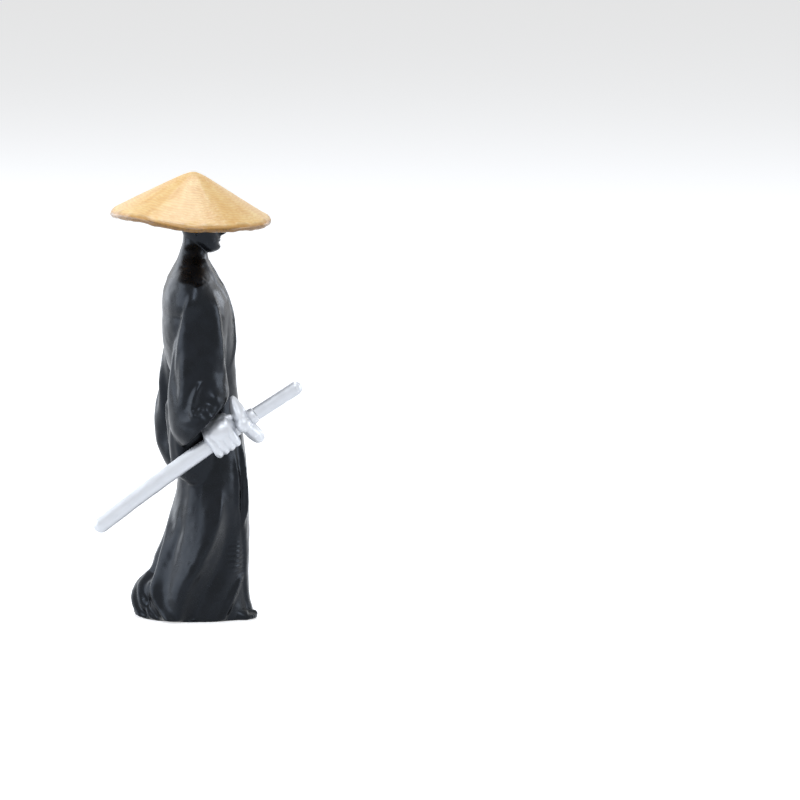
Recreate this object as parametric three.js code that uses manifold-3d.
// Miniature swordsman: a robed standing figure with a conical hat and a sheathed sword at its right hip.
// Millimetres. The figure looks along -Y, its left is +X, up is +Z, the origin lies on the flat underside.

import * as THREE from 'three';
import { mergeVertices } from 'three/addons/utils/BufferGeometryUtils.js';
import Module from 'manifold-3d';

const wasm = await Module();
wasm.setup();

// Fits
const glueGap = 0.3; // between glued pieces, and round a peg in its socket
const turnGap = 0.3; // between pieces that turn or lift
const overlap = 0.4; // how far joined shapes run into each other

const between = (low, high, share) => low + (high - low) * share;

// Levels of the body
const hipLevel = 28;
const waistLevel = 39;
const armholeLevel = 43;
const shoulderLevel = 55.2;
const collarLevel = 61.3;

// Flat leaning armhole of the robe, where a sleeve is glued on: X at its foot and at the shoulder
const armholeFootX = 4.1;
const armholeTopX = 6.8;

const skirt = (share) => between(0, hipLevel, share);
const overHip = (share) => between(hipLevel, armholeLevel, share);
const overArmhole = (share) => between(armholeLevel, shoulderLevel, share);
const overShoulder = (share) => between(shoulderLevel, collarLevel, share);

// Robe outline: middle of each level section, half width across, reach to the front and to the back
const robeRows = [
  { z: 0, x: -0.15, y: 0, across: 7.4, front: 9.2, rear: 9.7 },
  { z: skirt(0.05), x: -0.15, y: 0, across: 7.5, front: 9.1, rear: 10.0 },
  { z: skirt(0.13), x: -0.15, y: 0, across: 7.6, front: 9.0, rear: 10.0 },
  { z: skirt(0.2), x: -0.15, y: 0, across: 7.6, front: 8.9, rear: 9.4 },
  { z: skirt(0.245), x: -0.15, y: 0, across: 7.6, front: 8.9, rear: 8.3 },
  { z: skirt(0.285), x: -0.15, y: 0, across: 7.6, front: 8.9, rear: 7.4 },
  { z: skirt(0.375), x: -0.15, y: 0, across: 7.55, front: 9.0, rear: 6.2 },
  { z: skirt(0.54), x: -0.15, y: 0, across: 7.35, front: 9.0, rear: 4.5 },
  { z: skirt(0.79), x: -0.1, y: 0, across: 7.0, front: 8.8, rear: 3.2 },
  { z: hipLevel, x: 0, y: 0, across: 6.6, front: 8.3, rear: 3.2 },
  { z: waistLevel, x: 0, y: 0, across: 6.5, front: 7.0, rear: 3.5 },
  { z: armholeLevel, x: 0, y: 0, across: 6.7, front: 6.7, rear: 4.7 },
  { z: overArmhole(0.38), x: 0.1, y: 0, across: 9.1, front: 6.5, rear: 5.5 },
  { z: overArmhole(0.74), x: 0.2, y: 0, across: 9.6, front: 5.9, rear: 5.5 },
  { z: shoulderLevel, x: 0.2, y: 0, across: 9.3, front: 4.8, rear: 5.3 },
  { z: overShoulder(0.3), x: 0.2, y: 0, across: 8.4, front: 3.7, rear: 4.6 },
  { z: overShoulder(0.49), x: 0.2, y: 0, across: 7.1, front: 3.1, rear: 4.1 },
  { z: overShoulder(0.69), x: 0.2, y: 0, across: 5.3, front: 2.7, rear: 3.5 },
  { z: overShoulder(0.88), x: 0.1, y: 0, across: 3.8, front: 2.5, rear: 3.0 },
  { z: collarLevel, x: 0.1, y: 0, across: 3.2, front: 2.4, rear: 2.75 },
];

// A fold or a groove: a line of heights and places across as one view shows it, from the foot upwards,
// its rise, how far it spreads to either side, and the part of its length that fades at the top and foot
const fold = (view, line, form) => ({
  view,
  line: line.map(([z, across]) => ({ z, across })),
  ...form,
});
const foldsFullFrom = 6; // a section that is smaller, across and to the front together, has lower folds
const robeFolds = [
  fold(
    'back',
    [[0, -3.6], [skirt(0.16), 1.0], [skirt(0.33), 4.9], [skirt(0.96), 6.4]],
    { rise: 0.85, spread: [1.2, 0.9], topFade: 0.3, footFade: 0 },
  ),
  fold(
    'back',
    [[0, -5.6], [skirt(0.09), -3.9], [skirt(0.61), 2.0], [overHip(0.07), 5.2]],
    { rise: 0.7, spread: [1.1, 0.9], topFade: 0.3, footFade: 0 },
  ),
  fold(
    'back',
    [[0, -6.9], [skirt(0.16), -5.5], [skirt(0.39), -3.0], [skirt(0.79), 0.6]],
    { rise: 0.65, spread: [1.2, 0.8], topFade: 0.3, footFade: 0 },
  ),
  fold(
    'back',
    [[0, -1.6], [skirt(0.075), 0.3], [skirt(0.25), 4.2], [skirt(0.46), 7.3]],
    { rise: 0.65, spread: [1.3, 0.9], topFade: 0.3, footFade: 0 },
  ),
  fold(
    'back',
    [[0, -4.4], [skirt(0.21), 0.6], [skirt(0.43), 3.0], [skirt(0.79), 4.0]],
    { rise: -0.5, spread: [0.8, 0.8], topFade: 0.3, footFade: 0 },
  ),
  fold(
    'back',
    [[0, -6.0], [skirt(0.21), -2.9], [skirt(0.43), -1.0], [skirt(0.71), 1.2]],
    { rise: -0.5, spread: [0.8, 0.8], topFade: 0.3, footFade: 0 },
  ),
  fold(
    'left',
    [[0, -1.0], [skirt(0.33), -5.4], [skirt(0.87), -7.6], [overHip(0.33), -7.2]],
    { rise: 0.6, spread: [0.8, 2.2], topFade: 0.25, footFade: 0.1 },
  ),
  fold(
    'left',
    [[0, -7.6], [skirt(0.18), -6.6], [skirt(0.36), -5.4]],
    { rise: 0.55, spread: [0.8, 0.8], topFade: 0.3, footFade: 0 },
  ),
  fold(
    'left',
    [[0, 6.4], [skirt(0.1), 4.5], [skirt(0.25), 0.7], [skirt(0.46), -2.4]],
    { rise: 0.7, spread: [0.8, 1.4], topFade: 0.3, footFade: 0 },
  ),
  fold(
    'right',
    [[0, 4.2], [skirt(0.22), 1.4], [skirt(0.48), -2.4], [skirt(0.96), -3.8]],
    { rise: 1.15, spread: [0.9, 2.3], topFade: 0.45, footFade: 0 },
  ),
  fold(
    'right',
    [[0, 0.4], [skirt(0.18), -1.8], [skirt(0.32), -4.0], [skirt(0.71), -6.0]],
    { rise: -0.8, spread: [1.7, 1.3], topFade: 0.35, footFade: 0 },
  ),
  fold(
    'right',
    [[0, 7.4], [skirt(0.14), 6.6], [skirt(0.5), 3.4]],
    { rise: -0.8, spread: [0.8, 0.9], topFade: 0.35, footFade: 0 },
  ),
  fold(
    'right',
    [[0, 8.0], [skirt(0.18), 7.2], [skirt(0.36), 6.0]],
    { rise: 0.9, spread: [1.1, 2.0], topFade: 0.35, footFade: 0 },
  ),
  fold(
    'front',
    [[overHip(0.87), -3.6], [overArmhole(0.41), -0.4], [collarLevel, 2.5]],
    { rise: 0.4, spread: [0.8, 1.3], topFade: 0.06, footFade: 0.3 },
  ),
  fold(
    'front',
    [[0, -2.4], [skirt(0.71), -3.9], [overHip(0.67), -2.4]],
    { rise: 0.35, spread: [0.8, 1.6], topFade: 0.3, footFade: 0 },
  ),
];

// Where the right cuff hangs: X outwards from the middle of the figure, Y, and its lower end
const cuffX = 7.5;
const cuffY = 0;
const cuffLevel = 27;
const leftSleeveLevel = 22.9; // lower end of the left sleeve
const bagDrop = 4.4; // the bag behind the sword hangs below the cuff
const bagTall = 19.4;

const leftHang = (share) => between(leftSleeveLevel, armholeLevel, share);
const rightHang = (share) => between(cuffLevel, armholeLevel, share);
const bagHang = (share) => cuffLevel - bagDrop + bagTall * share;

// Left sleeve, level sections as the robe's
const leftSleeveRows = [
  { z: leftHang(0), x: 7.4, y: 2.2, across: 1.3, front: 1.3, rear: 1.3 },
  { z: leftHang(0.045), x: 7.5, y: 2.2, across: 2.7, front: 2.5, rear: 2.5 },
  { z: leftHang(0.12), x: 7.8, y: 2.2, across: 3.5, front: 3.5, rear: 3.5 },
  { z: leftHang(0.255), x: 8.0, y: 2.0, across: 4.2, front: 4.3, rear: 4.4 },
  { z: leftHang(0.43), x: 8.5, y: 1.8, across: 4.9, front: 4.9, rear: 4.9 },
  { z: leftHang(0.58), x: 8.4, y: 1.6, across: 5.0, front: 4.9, rear: 4.9 },
  { z: leftHang(0.75), x: 7.5, y: 1.4, across: 4.6, front: 4.2, rear: 4.5 },
  { z: leftHang(0.95), x: 6.4, y: 1.0, across: 5.0, front: 3.9, rear: 4.4 },
  { z: overArmhole(0.25), x: 4.6, y: 0.3, across: 6.4, front: 4.5, rear: 4.9 },
  { z: overArmhole(0.49), x: 2.4, y: 0, across: 8.1, front: 5.4, rear: 5.3 },
  { z: overArmhole(0.74), x: 0.4, y: 0, across: 9.5, front: 5.9, rear: 5.5 },
  { z: shoulderLevel, x: 0.2, y: 0, across: 9.3, front: 4.8, rear: 5.3 },
  { z: overShoulder(0.3), x: 0.2, y: 0, across: 8.4, front: 3.7, rear: 4.6 },
  { z: overShoulder(0.49), x: 0.2, y: 0, across: 7.1, front: 3.1, rear: 4.1 },
  { z: overShoulder(0.69), x: 0.2, y: 0, across: 5.2, front: 2.4, rear: 3.4 },
];
const leftSleeveFolds = [
  fold(
    'left',
    [[leftHang(0.25), -0.8], [leftHang(0.69), -3.6], [overArmhole(0.49), -2.4]],
    { rise: 0.5, spread: [0.8, 0.9], topFade: 0.25, footFade: 0.3 },
  ),
  fold(
    'left',
    [[leftHang(0.65), 3.6], [leftHang(1.03), 0.0], [overArmhole(0.86), -1.6]],
    { rise: 0.5, spread: [0.8, 0.9], topFade: 0.2, footFade: 0.4 },
  ),
  fold(
    'left',
    [[leftHang(0.56), 3.2], [leftHang(0.75), 0], [leftHang(0.97), -1.6]],
    { rise: 0.75, spread: [0.8, 0.8], topFade: 0.35, footFade: 0.3 },
  ),
  fold(
    'left',
    [[leftHang(0.38), 2.6], [leftHang(0.49), -1.4], [leftHang(0.63), -2.8]],
    { rise: 0.7, spread: [0.8, 0.8], topFade: 0.3, footFade: 0.3 },
  ),
  fold(
    'left',
    [[leftHang(0.4), 4.0], [leftHang(0.58), 4.3], [leftHang(0.75), 3.6]],
    { rise: -0.5, spread: [0.9, 0.8], topFade: 0.4, footFade: 0.4 },
  ),
  fold(
    'back',
    [[leftHang(0.05), 9.4], [leftHang(0.55), 10.3], [overArmhole(0.16), 8.6]],
    { rise: -0.8, spread: [0.8, 0.8], topFade: 0.3, footFade: 0.1 },
  ),
];

// Right sleeve: sections from their foremost to their hindmost point, tilted more and more towards the cuff:
// the foremost point lies the tilt above the section's middle and the hindmost one as far below it
const rightSleeveRows = [
  { z: rightHang(0.425), x: -7.7, frontY: -5.6, rearY: 2.1, tilt: 4.0, across: 5.35 },
  { z: rightHang(0.5), x: -7.4, frontY: -5.8, rearY: 3.5, tilt: 3.4, across: 5.05 },
  { z: rightHang(0.6), x: -7.0, frontY: -5.8, rearY: 4.2, tilt: 2.7, across: 4.75 },
  { z: rightHang(0.725), x: -6.6, frontY: -5.6, rearY: 4.4, tilt: 1.8, across: 4.7 },
  { z: rightHang(0.85), x: -6.1, frontY: -5.4, rearY: 4.4, tilt: 1.0, across: 4.8 },
  { z: overArmhole(0.015), x: -5.4, frontY: -5.2, rearY: 4.5, tilt: 0, across: 5.05 },
  { z: overArmhole(0.25), x: -4.0, frontY: -5.3, rearY: 4.8, tilt: 0, across: 6.1 },
  { z: overArmhole(0.49), x: -2.0, frontY: -5.7, rearY: 5.2, tilt: 0, across: 7.7 },
  { z: overArmhole(0.74), x: -0.3, frontY: -5.8, rearY: 5.5, tilt: 0, across: 9.0 },
  { z: shoulderLevel, x: 0.1, frontY: -4.8, rearY: 5.3, tilt: 0, across: 9.0 },
  { z: overShoulder(0.3), x: 0.1, frontY: -3.7, rearY: 4.7, tilt: 0, across: 8.3 },
  { z: overShoulder(0.49), x: 0.1, frontY: -3.1, rearY: 4.1, tilt: 0, across: 7.0 },
  { z: overShoulder(0.69), x: 0.1, frontY: -2.4, rearY: 3.4, tilt: 0, across: 5.2 },
];
const rightSleeveFolds = [
  fold(
    'right',
    [[rightHang(0.875), -4.9], [overArmhole(0.25), -4.6], [overShoulder(0.3), -3.6]],
    { rise: 0.5, spread: [0.8, 0.9], topFade: 0.2, footFade: 0.3 },
  ),
  fold(
    'right',
    [[rightHang(0.5), 1.6], [rightHang(0.69), 3.2], [overShoulder(0.1), 3.0]],
    { rise: 0.55, spread: [0.9, 0.8], topFade: 0.25, footFade: 0.2 },
  ),
  fold(
    'right',
    [[rightHang(0.59), -1.4], [rightHang(0.72), -1.6], [armholeLevel, -3.4]],
    { rise: 0.6, spread: [0.8, 0.8], topFade: 0.3, footFade: 0.3 },
  ),
  fold(
    'right',
    [[rightHang(0.5), -0.6], [rightHang(0.6), 0.2], [rightHang(0.9), -1.4]],
    { rise: 0.65, spread: [0.8, 0.8], topFade: 0.3, footFade: 0.2 },
  ),
];
const cuffWall = 1.2; // round the hollow of the right cuff
const cuffDepth = 2.2;

// Bag of the right sleeve, level sections again
const rightBagRows = [
  { z: bagHang(0), x: 2 - cuffX, y: cuffY - 1.2, across: 0.6, front: 0.9, rear: 0.9 },
  { z: bagHang(0.05), x: 2.1 - cuffX, y: cuffY - 0.6, across: 1.4, front: 2.4, rear: 2.3 },
  { z: bagHang(0.125), x: 2.2 - cuffX, y: cuffY, across: 2.0, front: 3.6, rear: 3.3 },
  { z: bagHang(0.225), x: 2.1 - cuffX, y: cuffY + 0.6, across: 2.4, front: 4.3, rear: 3.5 },
  { z: bagHang(0.38), x: 1.8 - cuffX, y: cuffY + 1.1, across: 2.6, front: 4.4, rear: 3.3 },
  { z: bagHang(0.56), x: 1.5 - cuffX, y: cuffY + 1.4, across: 2.6, front: 3.9, rear: 3.0 },
  { z: bagHang(0.72), x: 1.2 - cuffX, y: cuffY + 1.6, across: 2.4, front: 3.2, rear: 2.75 },
  { z: bagHang(0.87), x: 1.1 - cuffX, y: cuffY + 1.8, across: 2.0, front: 2.6, rear: 2.45 },
  { z: bagHang(1), x: 1.2 - cuffX, y: cuffY + 1.9, across: 1.0, front: 1.4, rear: 1.5 },
];
const rightBagFolds = [
  fold(
    'back',
    [[bagHang(0.04), -5.2], [bagHang(0.28), -4.1], [bagHang(0.8), -6.6]],
    { rise: 0.45, spread: [0.7, 0.7], topFade: 0.1, footFade: 0.15 },
  ),
];
const shoulderPegRadius = 1.2;
const shoulderPegDepth = 2.6; // into the robe
const shoulderPegDrop = 2.6; // below the shoulder level
const shoulderPegY = 0.4;

// Head and neck
const headHeight = 9.3;
const chinLift = 0.2; // chin over the collar
const neckSide = 2.15;
const neckDepth = 1.75;
const neckY = 0.15;
const neckSeat = 4.4; // how deep the neck sits in the collar
const neckInHead = 0.4; // share of the head's height that the neck reaches into
const headRows = [
  { z: 0, side: 0.8, front: 3.1, rear: -1.6 },
  { z: 0.05 * headHeight, side: 1.7, front: 3.9, rear: -0.8 },
  { z: 0.15 * headHeight, side: 2.35, front: 4.1, rear: 0.7 },
  { z: 0.28 * headHeight, side: 2.7, front: 4.1, rear: 1.8 },
  { z: 0.49 * headHeight, side: 2.95, front: 4.1, rear: 2.35 },
  { z: 0.67 * headHeight, side: 3.05, front: 4.1, rear: 2.45 },
  { z: 0.82 * headHeight, side: 2.85, front: 3.7, rear: 2.2 },
  { z: 0.91 * headHeight, side: 2.25, front: 2.9, rear: 1.5 },
  { z: 0.98 * headHeight, side: 1.3, front: 1.9, rear: 0.5 },
  { z: headHeight, side: 0.5, front: 1.1, rear: -0.4 },
];

// Plain face: height over the chin as a share of the head, rise, half width and half height
const nose = { low: 0.28, high: 0.34, bridge: 0.58, rise: 0.75, wide: 0.5 };
const faceBumps = [
  { name: 'lips', share: 0.2, x: 0, rise: 0.2, wide: 0.9, tall: 0.35 },
  { name: 'chin', share: 0.065, x: 0, rise: 0.18, wide: 0.9, tall: 0.5 },
  { name: 'brow', share: 0.6, x: 0, rise: 0.16, wide: 1.9, tall: 0.45 },
  { name: 'left eye', share: 0.51, x: 1.15, rise: -0.3, wide: 0.65, tall: 0.5 },
  { name: 'right eye', share: 0.51, x: -1.15, rise: -0.3, wide: 0.65, tall: 0.5 },
];

// Hat
const hatRadius = 13.2;
const hatHeight = 7.6; // brim's middle to the peak
const hatPeakRound = 1.6;
const hatWall = 1.0;
const brimThick = 0.9;
const brimRound = 0.15; // share of the brim's thickness by which its edge bulges
const brimWave = 0.22;
const brimWaves = [
  { count: 3, turn: 0.6, share: 1 },
  { count: 5, turn: 2, share: 0.6 },
];
const hatPeakY = 0.1;
const hatLift = 4.2; // peak over the crown of the head
const hatTiltForward = 4;
const hatTiltRight = 1.5;
const bossRadius = 1.7;
const pinRadius = 0.6;
const pinInHead = 2.2;
const pinInHat = 1.5;

// Sword: the guard's middle from the cuff, and the way towards the tip
const guardOut = 1.15;
const guardAhead = 8.46;
const guardOver = 7.4;
const swordHeading = 5; // degrees outwards from straight back
const scabbardPitchStart = 33.5; // degrees down at the guard
const scabbardPitchEnd = 37.8; // degrees down at the tip
const scabbardLength = 30.8;
const scabbardTall = 2.85;
const scabbardWide = 2.35;
const scabbardTip = { part: 0.06, least: 0.35 }; // part of its length that rounds off, and to what share
const handlePitch = 31;
const handleTall = 2.3;
const handleWide = 2.0;
const handleLength = 8.5;
const handleButt = { part: 0.12, least: 0.45 };
const guardLong = 8.9;
const guardWide = 5.6;
const guardThick = 1.7;
const guardEdge = 0.5;
const guardPinch = 1.3; // over 1 draws the leaf's section in towards its edges
const guardTaper = 0.8; // how soon the leaf narrows and thins towards its ends
const guardThinning = 0.6;
const hubFrom = -0.8; // round hub of the guard, along the sword
const hubTo = 1.7;
const hubRadius = 1.6;
const collarLength = 0.8;
const collarRadius = 1.45;
const collarEnds = 0.8; // share of its radius left at its ends
const tangRadius = 0.55;
const tangInScabbard = 3.5;

// Hand, in the sword's frame
const fingerRadius = 0.66;
const knuckleRadius = 0.74;
const fingerPitch = 1.26;
const fingerCount = 4;
const fingerFrom = 100; // degrees round the scabbard, from the palm
const fingerTo = -125;
const fistPlace = 4.5; // from the guard to the middle of the fist
const palmInset = 0.4; // towards the body
const palmHalfTall = 1.3;
const wristRadius = 1.5;
const wristLength = 6.4;
const wristBack = 0.6; // behind the middle of the fist
const wristSink = 0.3; // into the palm
const fistRoom = 0.3; // more room over the palm, for the thumb
const fingertipShare = 0.6; // of the finger's radius
const forearmPitch = 42; // degrees up to the back
const thumbRadius = 0.75;
const thumbRoot = { x: 0.3, lift: 0.2, ahead: 0.6 };
const thumbTip = { x: 0.9, lift: -0.3, ahead: 3.5 };

// Feet
const footLength = 9;
const footWidth = 3.5;
const footHeight = 2.5;
const leftFoot = { x: 4.7, toeY: -9.5 };
const rightFoot = { x: -3.6, toeY: -10.3 };
const toeGroove = 0.45; // depth of the groove beside the big toe
const grooveX = 0.3; // its place and its width as shares of the foot's half width,
const grooveWide = 0.16;
const grooveReach = 0.45; // and its reach as a share of the foot's length
const toesRound = 1 / 3; // share of the foot's length over which its toes round off
const toesLeast = 0.3; // share of its section at the very tip
const heelNarrower = 0.25;
const toesLower = 0.2;
const footDome = 0.8; // under 1 makes its section fuller

// Knot at the small of the back
const knotX = 0.7;
const knotWide = 4.2;
const knotTall = 2.1;
const knotProud = 0.8;
const knotFoot = 0.68; // its lower edge's share of its width
const knotBow = 0.15; // how far its upper and lower edges bulge
const knotSag = 0.1;
const knotEdge = 0.18; // how far its rounded edge reaches in,
const knotEdgeShare = 0.3; // and the share of its thickness that it takes at front and back
const knotPegRadius = 0.5;
const knotPegDepth = 1.2;

// Smoothness
const robeSides = 72;
const robeStep = 1.4;
const sleeveSides = 44;
const sleeveStep = 1.4;
const bagSides = 28;
const rodSides = 16;
const guardSteps = 14;
const headSides = 26;
const headStep = 0.6;
const hatSides = 40;
const swordSides = 12;
const swordSteps = 12;
const fingerSides = 7;
const fingerSteps = 8;
const footRows = 9;
const footSides = 20;

const radians = THREE.MathUtils.degToRad;
const vector = (x, y, z) => new THREE.Vector3(x, y, z);

// Every field of the rows at one height, on a smooth curve through the rows
function rowAt(rows, z) {
  const last = rows.length - 1;
  let i = 0;
  while (i < last - 1 && rows[i + 1].z <= z) i += 1;
  const [a, b] = [rows[i], rows[i + 1]];
  const t = THREE.MathUtils.clamp((z - a.z) / (b.z - a.z), 0, 1);
  const before = rows[Math.max(i - 1, 0)];
  const after = rows[Math.min(i + 2, last)];
  const found = {};
  for (const name of Object.keys(a)) {
    const slopeA = (b[name] - before[name]) / (b.z - before.z);
    const slopeB = (after[name] - a[name]) / (after.z - a.z);
    const span = b.z - a.z;
    const h1 = 2 * t ** 3 - 3 * t ** 2 + 1;
    const h2 = t ** 3 - 2 * t ** 2 + t;
    const h3 = 3 * t ** 2 - 2 * t ** 3;
    const h4 = t ** 3 - t ** 2;
    found[name] = h1 * a[name] + h2 * span * slopeA + h3 * b[name] + h4 * span * slopeB;
  }
  return found;
}

// Heights from the first row to the last, about one step apart
function levels(rows, step) {
  const low = rows[0].z;
  const high = rows[rows.length - 1].z;
  const count = Math.ceil((high - low) / step);
  return Array.from({ length: count + 1 }, (_, i) => low + ((high - low) * i) / count);
}

// Angle on a section at which a view shows a place across it: 0 is the figure's left, a right angle its back
function viewAngle(view, across, row) {
  const sideways = view === 'left' || view === 'right';
  const offset = across - (sideways ? row.y : row.x);
  const depth = offset > 0 ? row.rear : row.front;
  const share = THREE.MathUtils.clamp(offset / (sideways ? depth : row.across), -1, 1);
  if (view === 'left') return Math.asin(share);
  if (view === 'right') return Math.PI - Math.asin(share);
  return view === 'back' ? Math.acos(share) : -Math.acos(share);
}

// Height of all folds over the plain section, at an angle in radians
function foldRise(folds, angle, z, row) {
  let total = 0;
  for (const { view, line, rise, spread, topFade, footFade } of folds) {
    const share = (z - line[0].z) / (line[line.length - 1].z - line[0].z);
    if (share < 0 || share > 1) continue;
    const middle = viewAngle(view, rowAt(line, z).across, row);
    const depth = Math.sin(middle) > 0 ? row.rear : row.front;
    const reach = Math.hypot(row.across * Math.sin(middle), depth * Math.cos(middle));
    let away = angle - middle;
    away -= 2 * Math.PI * Math.round(away / (2 * Math.PI));
    away *= view === 'left' || view === 'front' ? reach : -reach;
    const top = topFade ? THREE.MathUtils.smoothstep(1 - share, 0, topFade) : 1;
    const foot = footFade ? THREE.MathUtils.smoothstep(share, 0, footFade) : 1;
    total += rise * top * foot * Math.exp(-((away / spread[away < 0 ? 0 : 1]) ** 2));
  }
  return total;
}

// A point of an egg-shaped level section, pushed out along its normal
function sectionPoint(row, angle, z, proud) {
  const depth = Math.sin(angle) > 0 ? row.rear : row.front;
  const normal = new THREE.Vector2(Math.cos(angle) / row.across, Math.sin(angle) / depth).normalize();
  const x = row.x + row.across * Math.cos(angle) + normal.x * proud;
  const y = row.y + depth * Math.sin(angle) + normal.y * proud;
  return vector(x, y, z);
}

// A closed body of level sections with its folds
function draped(rows, folds, sides, step, grown = 0) {
  const rings = levels(rows, step).map((z) => {
    const row = rowAt(rows, z);
    const small = Math.min(1, (row.across + row.front) / foldsFullFrom);
    return Array.from({ length: sides }, (_, i) => {
      const angle = (2 * Math.PI * i) / sides;
      return sectionPoint(row, angle, z, foldRise(folds, angle, z, row) * small + grown);
    });
  });
  return solid(loft(rings));
}

// A closed body through rings of points, with a fan on each end
function loft(rings) {
  const sides = rings[0].length;
  const positions = [];
  const indices = [];
  for (const ring of rings) for (const p of ring) positions.push(p.x, p.y, p.z);
  for (let r = 0; r < rings.length - 1; r += 1) {
    for (let i = 0; i < sides; i += 1) {
      const a = r * sides + i;
      const b = r * sides + ((i + 1) % sides);
      indices.push(a, b, a + sides, b, b + sides, a + sides);
    }
  }
  const addCap = (start, flip) => {
    const middle = vector(0, 0, 0);
    for (const p of rings[start]) middle.addScaledVector(p, 1 / sides);
    const centre = positions.length / 3;
    positions.push(middle.x, middle.y, middle.z);
    for (let i = 0; i < sides; i += 1) {
      const a = start * sides + i;
      const b = start * sides + ((i + 1) % sides);
      if (flip) indices.push(centre, b, a);
      else indices.push(centre, a, b);
    }
  };
  addCap(0, true);
  addCap(rings.length - 1, false);
  const geometry = new THREE.BufferGeometry();
  geometry.setAttribute('position', new THREE.Float32BufferAttribute(positions, 3));
  geometry.setIndex(indices);
  return geometry;
}

// Six times the signed volume, to tell a body that is inside out
function signedVolume(positions, indices) {
  const [a, b, c] = [vector(0, 0, 0), vector(0, 0, 0), vector(0, 0, 0)];
  let sum = 0;
  for (let i = 0; i < indices.length; i += 3) {
    a.fromArray(positions, indices[i] * 3);
    b.fromArray(positions, indices[i + 1] * 3);
    c.fromArray(positions, indices[i + 2] * 3);
    sum += a.dot(b.cross(c));
  }
  return sum;
}

// A solid for joining and cutting, from any closed geometry
function solid(geometry, matrix = new THREE.Matrix4()) {
  const plain = geometry.clone().applyMatrix4(matrix);
  plain.deleteAttribute('normal');
  plain.deleteAttribute('uv');
  const merged = mergeVertices(plain, 1e-4);
  const positions = new Float32Array(merged.attributes.position.array);
  let indices = Array.from(merged.index.array);
  const kept = [];
  for (let i = 0; i < indices.length; i += 3) {
    const [a, b, c] = [indices[i], indices[i + 1], indices[i + 2]];
    if (a !== b && b !== c && c !== a) kept.push(a, b, c);
  }
  indices = kept;
  if (signedVolume(positions, indices) < 0) indices.reverse();
  const mesh = new wasm.Mesh({
    numProp: 3,
    vertProperties: positions,
    triVerts: new Uint32Array(indices),
  });
  return new wasm.Manifold(mesh);
}

// The geometry of a finished solid
function geometryOf(body) {
  const mesh = body.getMesh();
  const geometry = new THREE.BufferGeometry();
  geometry.setAttribute('position', new THREE.Float32BufferAttribute(mesh.vertProperties, 3));
  geometry.setIndex(Array.from(mesh.triVerts));
  geometry.computeVertexNormals();
  return geometry;
}

const armholeLean = Math.atan2(armholeTopX - armholeFootX, shoulderLevel - armholeLevel);

// Half a space from the leaning armhole upwards: outside it, or on the robe's side of it
function armholeSpace(mirror, outside, shift, rise) {
  const size = 60;
  const geometry = new THREE.BoxGeometry(size, size, size);
  geometry.translate(outside ? shift + size / 2 : shift - size / 2, 0, rise + size / 2);
  geometry.rotateY(armholeLean);
  geometry.translate(armholeFootX, 0, armholeLevel);
  geometry.scale(mirror, 1, 1);
  return solid(geometry);
}

function robeBody(grown) {
  return draped(robeRows, robeFolds, robeSides, robeStep, grown)
    .subtract(armholeSpace(1, true, grown / 2, grown))
    .subtract(armholeSpace(-1, true, grown / 2, grown));
}

// A ring of the right sleeve, pushed out of the plain section by its folds or by a given amount
function rightSleeveRing(z, grown = null) {
  const row = rowAt(rightSleeveRows, z);
  const middle = vector(row.x, (row.frontY + row.rearY) / 2, z);
  const rearwards = vector(0, row.rearY - row.frontY, -2 * row.tilt);
  const half = rearwards.length() / 2;
  rearwards.normalize();
  const section = { x: row.x, y: middle.y, across: row.across, front: half, rear: half };
  return Array.from({ length: sleeveSides }, (_, i) => {
    const angle = (2 * Math.PI * i) / sleeveSides;
    const proud = grown === null ? foldRise(rightSleeveFolds, angle, z, section) : grown;
    return middle
      .clone()
      .add(vector((row.across + proud) * Math.cos(angle), 0, 0))
      .addScaledVector(rearwards, (half + proud) * Math.sin(angle));
  });
}

// Round rod between two points
function rod(from, to, radius, sides = rodSides) {
  const way = to.clone().sub(from);
  const geometry = new THREE.CylinderGeometry(radius, radius, way.length(), sides);
  const turn = new THREE.Quaternion().setFromUnitVectors(vector(0, 1, 0), way.clone().normalize());
  const middle = from.clone().add(to).multiplyScalar(0.5);
  return solid(geometry, new THREE.Matrix4().compose(middle, turn, vector(1, 1, 1)));
}

const guardPlace = vector(-cuffX - guardOut, cuffY - guardAhead, cuffLevel + guardOver);

// The sword's frame at a distance from the guard: x outwards, y upwards, z towards the tip
function swordFrame(distance) {
  const heading = radians(swordHeading);
  const bend = (radians(scabbardPitchEnd) - radians(scabbardPitchStart)) / scabbardLength;
  const start = radians(scabbardPitchStart);
  const along = Math.max(distance, 0);
  const pitch = distance < 0 ? radians(handlePitch) : start + bend * along;
  const meanPitch = distance < 0 ? pitch : start + (bend * along) / 2;
  const flat = distance * Math.cos(meanPitch);
  const place = vector(-flat * Math.sin(heading), flat * Math.cos(heading), -distance * Math.sin(meanPitch));
  place.add(guardPlace);
  const way = vector(
    -Math.cos(pitch) * Math.sin(heading),
    Math.cos(pitch) * Math.cos(heading),
    -Math.sin(pitch),
  );
  const outwards = vector(-Math.cos(heading), -Math.sin(heading), 0);
  const upwards = way.clone().cross(outwards);
  return new THREE.Matrix4().makeBasis(outwards, upwards, way).setPosition(place);
}

// An oval bar along the sword, with closer rings at its far end; size gives the share of the section
function swordBar(from, to, wide, tall, size) {
  const rings = Array.from({ length: swordSteps + 1 }, (_, r) => {
    const share = 1 - (1 - r / swordSteps) ** 2;
    const frame = swordFrame(from + (to - from) * share);
    const scale = size(share);
    return Array.from({ length: swordSides }, (_, i) => {
      const angle = (2 * Math.PI * i) / swordSides;
      const x = (wide / 2) * scale * Math.cos(angle);
      const y = (tall / 2) * scale * Math.sin(angle);
      return vector(x, y, 0).applyMatrix4(frame);
    });
  });
  return solid(loft(rings));
}

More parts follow.
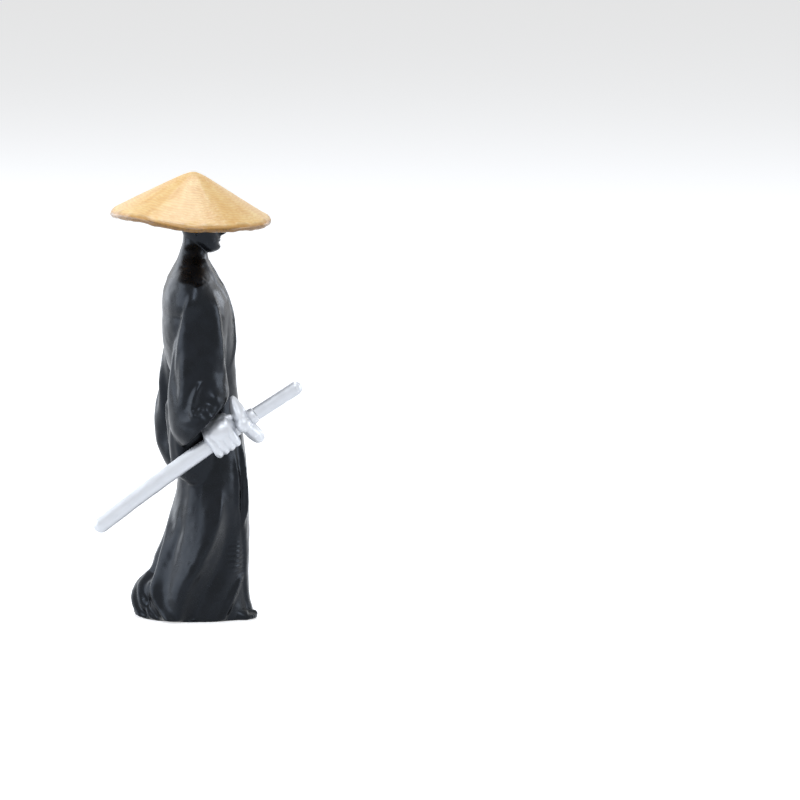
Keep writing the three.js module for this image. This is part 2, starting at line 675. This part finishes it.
// Share of its section that a bar has where its far end is rounded off
function roundedEnd(share, { part, least }) {
  const t = THREE.MathUtils.clamp((share - (1 - part)) / part, 0, 1);
  return Math.max(least, Math.sqrt(1 - t * t));
}

const scabbardStart = hubTo + glueGap;
const collarStart = -guardThick / 2 - glueGap;
const handleStart = collarStart - collarLength - glueGap;
const handleEnd = handleStart - handleLength;

function tangRod(grown, reach) {
  const front = vector(0, 0, 0).applyMatrix4(swordFrame(handleStart - overlap));
  const guard = vector(0, 0, 0).applyMatrix4(swordFrame(0));
  const back = vector(0, 0, 0).applyMatrix4(swordFrame(reach));
  return rod(front, guard, tangRadius + grown, 12).add(rod(guard, back, tangRadius + grown, 12));
}

function scabbardBody(grown) {
  const size = (share) => roundedEnd(share, scabbardTip);
  const from = scabbardStart - grown;
  return swordBar(from, scabbardLength + grown, scabbardWide + 2 * grown, scabbardTall + 2 * grown, size);
}

function makeScabbard() {
  return scabbardBody(0).subtract(tangRod(glueGap, scabbardStart + tangInScabbard + glueGap));
}

// Guard: a leaf with pointed ends, thick in the middle and thin at its edges, on a round hub
function makeGuard() {
  const frame = swordFrame(0);
  const pinched = (value, size) => size * Math.sign(value) * Math.abs(value) ** guardPinch;
  const rings = Array.from({ length: guardSteps + 1 }, (_, r) => {
    const place = -Math.cos((Math.PI * r) / guardSteps);
    const wide = Math.max(guardEdge, guardWide * (1 - place * place) ** guardTaper) / 2;
    const thick = Math.max(guardEdge, guardThick * (1 - Math.abs(place)) ** guardThinning) / 2;
    return Array.from({ length: swordSides }, (_, i) => {
      const angle = (2 * Math.PI * i) / swordSides;
      const x = pinched(Math.cos(angle), wide);
      const z = pinched(Math.sin(angle), thick);
      return vector(x, (guardLong / 2) * place, z).applyMatrix4(frame);
    });
  });
  const hub = new THREE.SphereGeometry(1, rodSides, rodSides / 2);
  hub.rotateX(Math.PI / 2);
  hub.scale(hubRadius, hubRadius, (hubTo - hubFrom) / 2);
  return solid(loft(rings))
    .add(solid(hub, swordFrame((hubFrom + hubTo) / 2)))
    .subtract(tangRod(glueGap, scabbardStart + glueGap));
}

function makeHandleCollar() {
  const bulge = (share) => collarEnds + (1 - collarEnds) * Math.sin(Math.PI * share);
  return swordBar(collarStart, collarStart - collarLength, 2 * collarRadius, 2 * collarRadius, bulge)
    .subtract(tangRod(glueGap, scabbardStart));
}

function makeHandle() {
  const size = (share) => roundedEnd(share, handleButt);
  const bar = swordBar(handleStart, handleEnd, handleWide, handleTall, size);
  return bar.add(tangRod(0, scabbardStart + tangInScabbard));
}

// A round limb along points, its radius given at each point
function limb(points, radii, sides, steps) {
  const curve = new THREE.CatmullRomCurve3(points);
  const frames = curve.computeFrenetFrames(steps, false);
  const rings = Array.from({ length: steps + 1 }, (_, r) => {
    const share = r / steps;
    const centre = curve.getPointAt(share);
    const place = share * (radii.length - 1);
    const low = Math.min(Math.floor(place), radii.length - 2);
    const radius = THREE.MathUtils.lerp(radii[low], radii[low + 1], place - low);
    return Array.from({ length: sides }, (_, i) => {
      const angle = (2 * Math.PI * i) / sides;
      return centre
        .clone()
        .addScaledVector(frames.normals[r], radius * Math.cos(angle))
        .addScaledVector(frames.binormals[r], radius * Math.sin(angle));
    });
  });
  return solid(loft(rings));
}

const forearmWay = vector(0, Math.cos(radians(forearmPitch)), Math.sin(radians(forearmPitch)));

// Middle of a finger, outwards and upwards from the scabbard's middle
const gripX = scabbardWide / 2 + glueGap + fingerRadius;
const gripY = scabbardTall / 2 + glueGap + fingerRadius;

function makeFinger(place, frame) {
  const bends = [1, 1, 0, 1, 0, 0]; // 1 at a knuckle
  const points = Array.from({ length: bends.length + 1 }, (_, i) => {
    const angle = radians(between(fingerFrom, fingerTo, i / bends.length));
    return vector(gripX * Math.cos(angle), gripY * Math.sin(angle), place).applyMatrix4(frame);
  });
  const radii = bends.map((bend) => (bend ? knuckleRadius : fingerRadius));
  return limb(points, [...radii, fingerRadius * fingertipShare], fingerSides, fingerSteps);
}

function makeThumb(frame) {
  const points = [0, 1 / 3, 2 / 3, 1].map((share) =>
    vector(
      between(thumbRoot.x, thumbTip.x, Math.sqrt(share)),
      gripY + between(thumbRoot.lift, thumbTip.lift, share ** 1.5),
      -between(thumbRoot.ahead, thumbTip.ahead, share),
    ).applyMatrix4(frame),
  );
  const radii = [thumbRadius, thumbRadius, thumbRadius, thumbRadius * fingertipShare];
  return limb(points, radii, fingerSides, fingerSteps);
}

function makeHand() {
  const frame = swordFrame(fistPlace);
  const palm = new THREE.SphereGeometry(1, 14, 10);
  palm.scale(gripX, palmHalfTall, (fingerCount * fingerPitch) / 2);
  palm.translate(-palmInset, gripY, 0);
  let hand = solid(palm, frame).add(wristRod(0)).add(makeThumb(frame));
  for (let f = 0; f < fingerCount; f += 1) {
    hand = hand.add(makeFinger((f - (fingerCount - 1) / 2) * fingerPitch, frame));
  }
  return hand.subtract(scabbardBody(glueGap));
}

// Wrist, from the palm up into the sleeve
function wristRod(grown) {
  const palm = vector(-palmInset, gripY - wristSink, wristBack).applyMatrix4(swordFrame(fistPlace));
  const from = palm.clone().addScaledVector(forearmWay, -grown);
  const to = palm.clone().addScaledVector(forearmWay, wristLength + grown);
  return rod(from, to, wristRadius + grown, 16);
}

// Room for the whole fist and its thumb, an oval drum along the sword from the guard
function fistSpace() {
  const long = fistPlace + (fingerCount * fingerPitch + fingerRadius) / 2 + glueGap;
  const reachX = gripX + glueGap + 2 * fingerRadius;
  const reachY = gripY + glueGap + palmHalfTall + fistRoom;
  const geometry = new THREE.CylinderGeometry(1, 1, long, 24);
  geometry.rotateX(Math.PI / 2);
  geometry.scale(reachX, reachY, 1);
  geometry.translate(0, 0, long / 2);
  return solid(geometry, swordFrame(0));
}

// Round peg of a sleeve, and its socket when grown
function shoulderPeg(mirror, grown) {
  const z = shoulderLevel - shoulderPegDrop;
  const flatX = armholeFootX + (z - armholeLevel) * Math.tan(armholeLean);
  const inner = vector(mirror * (flatX - shoulderPegDepth - grown), shoulderPegY, z);
  const outer = vector(mirror * (flatX + 2 * glueGap + shoulderPegRadius), shoulderPegY, z);
  return rod(inner, outer, shoulderPegRadius + grown, 14);
}

function makeLeftSleeve(robeSpace) {
  return draped(leftSleeveRows, leftSleeveFolds, sleeveSides, sleeveStep)
    .subtract(armholeSpace(1, false, glueGap, 0))
    .subtract(robeSpace)
    .add(shoulderPeg(1, 0));
}

// Hollow of the right cuff, from outside its mouth up into the sleeve
function cuffHollow() {
  const mouth = rightSleeveRows[0].z;
  const rim = rightSleeveRing(mouth, -cuffWall);
  const outside = rim.map((p) => p.clone().addScaledVector(forearmWay, -1));
  return solid(loft([outside, rim, rightSleeveRing(mouth + cuffDepth, -1.5 * cuffWall)]));
}

function makeRightSleeve(robeSpace) {
  return solid(loft(levels(rightSleeveRows, sleeveStep).map((z) => rightSleeveRing(z))))
    .subtract(cuffHollow())
    .add(draped(rightBagRows, rightBagFolds, bagSides, sleeveStep))
    .subtract(armholeSpace(-1, false, glueGap, 0))
    .subtract(robeSpace)
    .add(shoulderPeg(-1, 0))
    .subtract(fistSpace())
    .subtract(wristRod(glueGap))
    .subtract(scabbardBody(glueGap));
}

// Neck: an oval rod that stands in the robe's collar
function neckBody(low, high, grown) {
  const geometry = new THREE.CylinderGeometry(1, 1, high - low, 28);
  geometry.rotateX(Math.PI / 2);
  geometry.scale(neckSide + grown, neckDepth + grown, 1);
  geometry.translate(0, neckY, (low + high) / 2);
  return solid(geometry);
}

// Height of a plain face over the smooth head
function faceRise(x, up) {
  const share = up / headHeight;
  const noseUp = THREE.MathUtils.smoothstep(share, nose.low, nose.high);
  const noseDown = 1 - THREE.MathUtils.smoothstep(share, nose.high, nose.bridge);
  let rise = nose.rise * noseUp * noseDown * Math.exp(-((x / nose.wide) ** 2));
  for (const bump of faceBumps) {
    const up2 = (share - bump.share) * headHeight;
    rise += bump.rise * Math.exp(-(((x - bump.x) / bump.wide) ** 2) - (up2 / bump.tall) ** 2);
  }
  return rise;
}

const chinLevel = collarLevel + chinLift;
const crownLevel = chinLevel + headHeight;

function makeHead(hatFrame) {
  const rings = levels(headRows, headStep).map((up) => {
    const row = rowAt(headRows, up);
    const middleY = (row.rear - row.front) / 2;
    const depth = (row.rear + row.front) / 2;
    return Array.from({ length: headSides }, (_, i) => {
      const angle = (2 * Math.PI * i) / headSides;
      const onFront = Math.max(0, -Math.sin(angle)) ** 0.5;
      const rise = faceRise(row.side * Math.cos(angle), up) * onFront;
      const section = { x: 0, y: middleY, across: row.side, front: depth, rear: depth };
      return sectionPoint(section, angle, chinLevel + up, rise);
    });
  });
  const neck = neckBody(collarLevel - neckSeat, chinLevel + headHeight * neckInHead, 0);
  return solid(loft(rings)).add(neck).subtract(pinBody(hatFrame, turnGap));
}

// The hat's frame: origin at the peak, z along its axis
function makeHatFrame() {
  const turn = new THREE.Euler(radians(hatTiltForward), -radians(hatTiltRight), 0);
  return new THREE.Matrix4().makeRotationFromEuler(turn).setPosition(0, hatPeakY, crownLevel + hatLift);
}

// Fall of the hat's outer face for each millimetre outwards, and its depth below the peak
const hatFall = (hatHeight - brimThick / 2) / (Math.hypot(hatRadius, hatPeakRound) - hatPeakRound);
const hatDrop = (radius) => hatFall * (Math.hypot(radius, hatPeakRound) - hatPeakRound);
const hatWallDown = hatWall * Math.hypot(1, hatFall);
const bossBottom = hatLift - 1.5 * turnGap; // below the peak, just over the crown

function makeHat(hatFrame) {
  const outer = [0, 0.07, 0.16, 0.29, 0.45, 0.64, 0.82, 0.94].map((share) => {
    const radius = share * hatRadius;
    return new THREE.Vector2(radius, -hatDrop(radius));
  });
  const edge = [
    new THREE.Vector2(hatRadius, -hatHeight + brimThick / 2),
    new THREE.Vector2(hatRadius + brimRound * brimThick, -hatHeight),
    new THREE.Vector2(hatRadius - brimRound * brimThick, -hatHeight - brimThick / 2),
  ];
  const inner = [0.92, 0.79, 0.61, 0.41, 0.24].map((share) => {
    const radius = between(bossRadius, hatRadius, share);
    return new THREE.Vector2(radius, -hatDrop(radius) - hatWallDown);
  });
  const boss = [
    new THREE.Vector2(bossRadius, -hatDrop(bossRadius) - hatWallDown),
    new THREE.Vector2(bossRadius, -bossBottom),
    new THREE.Vector2(0, -bossBottom),
  ];
  const geometry = new THREE.LatheGeometry([...outer, ...edge, ...inner, ...boss], hatSides);
  geometry.rotateX(Math.PI / 2);
  const places = geometry.attributes.position;
  for (let i = 0; i < places.count; i += 1) {
    const radius = Math.hypot(places.getX(i), places.getY(i));
    const angle = Math.atan2(places.getY(i), places.getX(i));
    let wave = 0;
    for (const { count, turn, share } of brimWaves) wave += share * Math.sin(count * angle + turn);
    places.setZ(i, places.getZ(i) + brimWave * wave * (radius / hatRadius) ** 4);
  }
  return solid(geometry, hatFrame).subtract(pinBody(hatFrame, turnGap));
}

function pinBody(hatFrame, grown) {
  const top = vector(0, 0, -bossBottom + pinInHat + grown).applyMatrix4(hatFrame);
  const low = vector(0, 0, -bossBottom - turnGap - pinInHead - grown).applyMatrix4(hatFrame);
  return rod(low, top, pinRadius + grown, 16);
}

// Foot: flat underneath, a groove beside the big toe
function footBody(foot, mirror, grown) {
  const rings = Array.from({ length: footRows + 1 }, (_, r) => {
    const share = r / footRows;
    const y = foot.toeY - grown + share * (footLength + 2 * grown);
    const full = Math.max(toesLeast, Math.sqrt(1 - (1 - Math.min(1, share / toesRound)) ** 2));
    const half = (footWidth / 2) * full * (1 - heelNarrower * share) + grown;
    const tall = footHeight * full * (1 - toesLower * (1 - share)) + grown;
    return Array.from({ length: footSides }, (_, i) => {
      const angle = (Math.PI * 2 * i) / footSides;
      const away = (Math.cos(angle) - grooveX * mirror) / grooveWide;
      const groove = grown || share > grooveReach ? 0 : toeGroove * full * Math.exp(-(away ** 2));
      const lift = Math.max(0, Math.sin(angle)) ** footDome * tall - groove;
      return vector(foot.x + half * Math.cos(angle), y, Math.max(lift, -grown) - (lift > 0 ? 0 : grown));
    });
  });
  return solid(loft(rings));
}

// Knot: a small pillow on a peg
function makeKnot() {
  const back = knotPlace();
  const shape = new THREE.Shape();
  shape.moveTo(-knotWide / 2, knotTall / 2);
  shape.quadraticCurveTo(0, knotTall / 2 + knotBow, knotWide / 2, knotTall / 2);
  shape.lineTo((knotWide / 2) * knotFoot, -knotTall / 2);
  shape.quadraticCurveTo(0, -knotTall / 2 - knotSag, (-knotWide / 2) * knotFoot, -knotTall / 2);
  shape.closePath();
  const geometry = new THREE.ExtrudeGeometry(shape, {
    depth: knotProud * (1 - 2 * knotEdgeShare),
    bevelThickness: knotProud * knotEdgeShare,
    bevelSize: knotEdge,
    bevelOffset: -knotEdge,
    bevelSegments: 2,
    curveSegments: 6,
  });
  geometry.translate(0, 0, knotProud * knotEdgeShare);
  geometry.rotateX(Math.PI / 2);
  geometry.rotateZ(Math.PI);
  geometry.translate(knotX, back + glueGap, waistLevel);
  return solid(geometry).add(knotPeg(0));
}

// Y of the robe's back behind the knot
function knotPlace() {
  const row = rowAt(robeRows, waistLevel);
  const angle = viewAngle('back', knotX, row);
  return sectionPoint(row, angle, waistLevel, foldRise(robeFolds, angle, waistLevel, row)).y;
}

function knotPeg(grown) {
  const back = knotPlace();
  const from = vector(knotX, back - knotPegDepth - grown, waistLevel);
  return rod(from, vector(knotX, back + glueGap + knotProud / 4, waistLevel), knotPegRadius + grown, 10);
}

function makeRobe() {
  const neckHole = neckBody(collarLevel - neckSeat - glueGap, collarLevel + neckSeat, glueGap);
  return robeBody(0)
    .subtract(neckHole)
    .subtract(shoulderPeg(1, glueGap))
    .subtract(shoulderPeg(-1, glueGap))
    .subtract(footBody(leftFoot, 1, glueGap))
    .subtract(footBody(rightFoot, -1, glueGap))
    .subtract(knotPeg(glueGap));
}

const group = new THREE.Group();

function add(name, body, colour, roughness, metalness) {
  const material = new THREE.MeshStandardMaterial({ color: colour, roughness, metalness });
  const mesh = new THREE.Mesh(geometryOf(body), material);
  mesh.name = name;
  group.add(mesh);
}

const glossBlack = ['#17191c', 0.22, 0];
const silver = ['#b9bcc2', 0.35, 0.6];
const straw = ['#c9a25f', 0.6, 0];

const hatFrame = makeHatFrame();
const robeSpace = robeBody(glueGap);
add('robe', makeRobe(), ...glossBlack);
add('left_sleeve', makeLeftSleeve(robeSpace), ...glossBlack);
add('right_sleeve', makeRightSleeve(robeSpace), ...glossBlack);
add('head', makeHead(hatFrame), ...glossBlack);
add('hat', makeHat(hatFrame), ...straw);
add('hat_pin', pinBody(hatFrame, 0), ...silver);
add('right_hand', makeHand(), ...silver);
add('scabbard', makeScabbard(), ...silver);
add('sword_guard', makeGuard(), ...silver);
add('handle_collar', makeHandleCollar(), ...silver);
add('sword_handle', makeHandle(), ...silver);
add('left_foot', footBody(leftFoot, 1, 0), ...glossBlack);
add('right_foot', footBody(rightFoot, -1, 0), ...glossBlack);
add('belt_knot', makeKnot(), ...glossBlack);

export default group;
